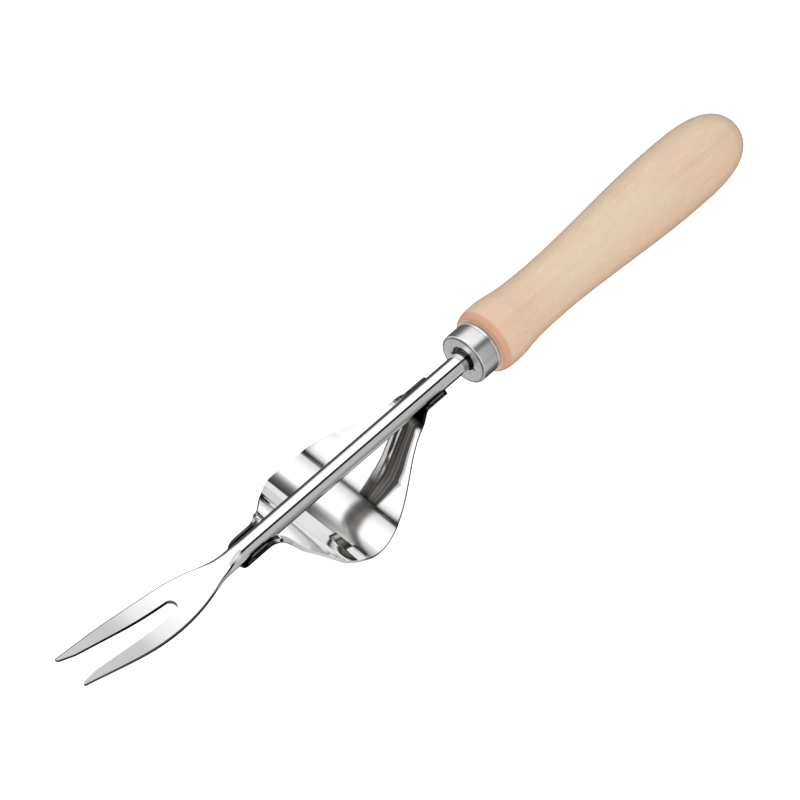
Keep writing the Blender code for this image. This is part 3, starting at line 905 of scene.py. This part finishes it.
def plate_curl(x):
    """Curvature across the plate: none at the trough, a little on the slopes, half round at the tabs."""
    ahead = max(0.0, LEAF_CURL_X[0] - x)
    behind = min(LEAF_CURL_REAR_LENGTH, max(0.0, x - LEAF_CURL_X[1]))
    leaf = LEAF_CURL_GROWTH * (ahead + behind)
    front = 1.0 - ease(x, *TAB_UNROLL_FRONT)
    rear = 1.0 - ease(x, *TAB_UNROLL_REAR)
    return mix(leaf, 1.0 / TAB_BEND_RADIUS, max(front, rear))


def cross_point(distance, curl):
    if curl * TAB_BEND_RADIUS < FLAT_CURL:
        return distance, 0.0
    angle = distance * curl
    return math.sin(angle) / curl, (1.0 - math.cos(angle)) / curl


def make_plate(steel):
    outline = bezier(LEAF_OUTLINE_FRONT, LEAF_STEPS) + bezier(LEAF_OUTLINE_REAR, LEAF_STEPS)[1:]
    path = plate_path()
    first, last = path[0], path[-1]
    for share in TAB_END_SHARES:
        path.append((first[0] + share * TAB_CORNER_RADIUS, first[1]))
        path.append((last[0] - share * TAB_CORNER_RADIUS, last[1]))
    path.sort()
    across = spread(-1.0, 1.0, SHEET_ACROSS)
    bm = bmesh.new()
    rows = []
    for x, z in path:
        half_width = plate_half_width(x, outline)
        curl = plate_curl(x)
        row = []
        for share in across:
            y, up = cross_point(share * half_width, curl)
            row.append(bm.verts.new((x, y, z + up)))
        rows.append(row)
    for low, high in zip(rows, rows[1:]):
        for i in range(len(across) - 1):
            bm.faces.new((low[i], high[i], high[i + 1], low[i + 1]))
    piece = new_piece("fulcrum_plate_sheet", bm, "fulcrum_plate", steel)
    sheet = piece.modifiers.new("sheet", "SOLIDIFY")
    sheet.thickness = PLATE_THICKNESS
    sheet.offset = 0.0
    sheet.use_even_offset = True
    apply_modifiers(piece)
    soften(piece, SHEET_EDGE_RADIUS, angle=60, segments=3)


# Welds


def make_weld(name, span, y, z, steel):
    """Rippled seam that thins out at both ends."""
    places = spread(*span, WELD_STEPS)
    rings = []
    for number, x in enumerate(places):
        t = number / (len(places) - 1)
        ripple = 1.0 - WELD_RIPPLE_DEPTH * abs(math.sin(math.pi * WELD_RIPPLES * t)) ** 0.5
        end = min(1.0, WELD_END_TAPER * t, WELD_END_TAPER * (1.0 - t))
        radius = WELD_RADIUS * ripple * max(WELD_END_LEAST, math.sqrt(end))
        rings.append([(x, across, up) for across, up in circle((y, z), radius, WELD_SIDES)])
    new_piece(f"{name}_bead", loft(rings), name, steel)


# Turned pieces


def turned(name, profile, replaced, material):
    """Piece turned round X from a profile of (x, radius) points. A point on the axis becomes one vertex."""
    bm = bmesh.new()
    rows = []
    for x, radius in profile:
        if radius < AXIS_RADIUS:
            rows.append([bm.verts.new((x, 0.0, 0.0))])
            continue
        row = []
        for step in range(TURNED_SIDES):
            angle = 2 * math.pi * step / TURNED_SIDES
            row.append(bm.verts.new((x, radius * math.cos(angle), radius * math.sin(angle))))
        rows.append(row)
    for low, high in zip(rows, rows[1:]):
        for i in range(TURNED_SIDES):
            j = (i + 1) % TURNED_SIDES
            corners = [low[i % len(low)], low[j % len(low)], high[j % len(high)], high[i % len(high)]]
            bm.faces.new(list(dict.fromkeys(corners)))
    return new_piece(name, bm, replaced, material)


def prism_cutter(outline):
    return new_cutter(loft([[(x, y, z) for y, z in outline] for x in FERRULE_CUT_X]))


def make_ferrule(steel):
    edge, rim = FERRULE_EDGE_RADIUS, FERRULE_RIM_RADIUS
    inner = FERRULE_RADIUS - FERRULE_WALL
    profile = [(FERRULE_WALL, 0.0), (FERRULE_WALL, inner), (FERRULE_LENGTH - rim, inner)]
    profile += arc((FERRULE_LENGTH - rim, inner + rim), rim, -90, 0, FERRULE_RIM_STEPS)[1:]
    profile += arc((FERRULE_LENGTH - rim, FERRULE_RADIUS - rim), rim, 0, 90, FERRULE_RIM_STEPS)
    profile += arc((edge, FERRULE_RADIUS - edge), edge, 90, 180, FERRULE_EDGE_STEPS)
    profile.append((0.0, 0.0))
    piece = turned("ferrule_cap", profile, "ferrule", steel)
    hole = circle((0.0, HOLE_LIFT), HOLE_RADIUS, HOLE_SIDES)
    low, high = NOTCH_Z - NOTCH_HEIGHT / 2, NOTCH_Z + NOTCH_HEIGHT / 2
    notch = [(-NOTCH_REACH, low), (NOTCH_REACH, low), (NOTCH_REACH, high), (-NOTCH_REACH, high)]
    cut_away(piece, prism_cutter(hole), prism_cutter(notch))
    soften(piece, FERRULE_SOFT_EDGE, angle=60, segments=3)


def make_handle(wood):
    bead_x, bead = HANDLE_BEAD
    waist_x, waist = HANDLE_WAIST
    belly_x, belly = HANDLE_BELLY
    shoulder_x = FERRULE_LENGTH + CLEARANCE
    spigot = FERRULE_RADIUS - FERRULE_WALL - CLEARANCE
    spigot_x = FERRULE_WALL + CLEARANCE
    bore = SHAFT_RADIUS + CLEARANCE
    tip, tip_pull = (HANDLE_END_X, 0.0), (HANDLE_END_X, DOME_PULL_RADIUS)
    end_pulls = (tip, tip_pull, (DOME_PULL_X, belly), (belly_x, belly))
    body_pulls = ((belly_x, belly), (TAPER_PULL_X[0], belly), (TAPER_PULL_X[1], waist), (waist_x, waist))
    throat_pulls = ((waist_x, waist), (THROAT_PULL_X[0], waist), (THROAT_PULL_X[1], bead), (bead_x, bead))
    lip_pulls = ((bead_x, bead), (LIP_PULL[0], bead), (shoulder_x, LIP_PULL[1]), (shoulder_x, LIP_RADIUS))
    profile = bezier(end_pulls, DOME_STEPS) + bezier(body_pulls, TAPER_STEPS)[1:]
    profile += bezier(throat_pulls, THROAT_STEPS)[1:] + bezier(lip_pulls, LIP_STEPS)[1:]
    profile += [(shoulder_x, spigot), (spigot_x, spigot), (spigot_x, bore)]
    profile += [(TANG_BORE_END_X, bore), (TANG_BORE_END_X + TANG_BORE_CONE, 0.0)]
    piece = turned("handle_beech", profile, "handle", wood)
    piece.data.set_sharp_from_angle(angle=math.radians(50))


# Studio


def make_world():
    """White studio with dark flags, seen in reflections only: to the camera it is plain white."""
    world = bpy.data.worlds.new("studio")
    bpy.context.scene.world = world
    world.use_nodes = True
    tree = world.node_tree
    x, y, z = split_xyz(tree, coordinates(tree, "Generated"))
    near = ramp_round_axis(tree, y, z, HANDLE_SIDE_BANDS, FIRST_BAND)
    far = ramp_round_axis(tree, y, z, TINE_SIDE_BANDS, FIRST_BAND)
    light = mix_colour(tree, fade(tree, x, *HANDLE_SIDE_X), far, near)
    ends = ramp_over(tree, x, AXIS_SPAN, WORLD_ENDS)
    middle = ramp_over(tree, x, AXIS_SPAN, WORLD_MIDDLE)
    upright = fade(tree, math_node(tree, "ABSOLUTE", y), *MIDDLE_Y)
    upright = math_node(tree, "MULTIPLY", upright, fade(tree, z, *MIDDLE_Z))
    light = multiply(tree, light, mix_colour(tree, upright, ends, middle))
    light = multiply(tree, light, WORLD_STRENGTH)
    seen = add_node(tree, "ShaderNodeLightPath").outputs["Is Camera Ray"]
    tree.links.new(mix_colour(tree, seen, light, 1.0), tree.nodes["Background"].inputs[0])


def add_light(name, place, size, power):
    """Round soft light pointed at the middle of the tool. It isn't seen in reflections."""
    light = bpy.data.lights.new(name, "AREA")
    light.shape = "DISK"
    light.size = size
    light.energy = power
    lamp = link_object(name, light)
    lamp.location = place
    lamp.rotation_mode = "QUATERNION"
    lamp.rotation_quaternion = (-Vector(place)).to_track_quat("-Z", "Y")
    lamp.visible_glossy = False


def make_floor():
    bm = bmesh.new()
    bmesh.ops.create_grid(bm, x_segments=1, y_segments=1, size=FLOOR_HALF_SIZE)
    floor = link_object("floor", mesh_of("floor", bm))
    floor.location = (0.0, 0.0, cad_box[0][2] - FLOOR_GAP)
    material, _, shader = new_material("pale_floor")
    shader.inputs["Base Color"].default_value = (0.5, 0.5, 0.5, 1.0)
    shader.inputs["Roughness"].default_value = 0.9
    shader.inputs["Specular IOR Level"].default_value = 0.0
    shader.inputs["Emission Color"].default_value = (1.0, 1.0, 1.0, 1.0)
    shader.inputs["Emission Strength"].default_value = 0.9
    floor.data.materials.append(material)
    floor.visible_glossy = False


def make_camera():
    data = bpy.data.cameras.new("camera")
    data.sensor_width = 36.0
    data.lens = CAMERA_LENS
    data.clip_end = 10.0
    camera = link_object("camera", data)
    camera.location = ORIGIN + CAMERA_OFFSET
    camera.rotation_mode = "QUATERNION"
    camera.rotation_quaternion = CAMERA_TURN
    bpy.context.scene.camera = camera


make_fork_shaft(fork_steel())
make_plate(sheet_steel())
bead_steel = weld_steel()
for end_name, end_span in WELD_SPANS.items():
    weld_side, weld_up = WELD_OFFSETS[end_name]
    make_weld(f"weld_{end_name}_left", end_span, weld_side, weld_up, bead_steel)
    make_weld(f"weld_{end_name}_right", end_span, -weld_side, weld_up, bead_steel)
make_ferrule(ferrule_steel())
make_handle(beech_wood())
make_world()
make_floor()
make_camera()
add_light("key_light", place=(0.1, -0.5, 1.2), size=1.0, power=9.0)
add_light("fill_light", place=(0.1, 0.9, 0.05), size=0.4, power=2.6)
bpy.context.scene.view_settings.view_transform = "Standard"
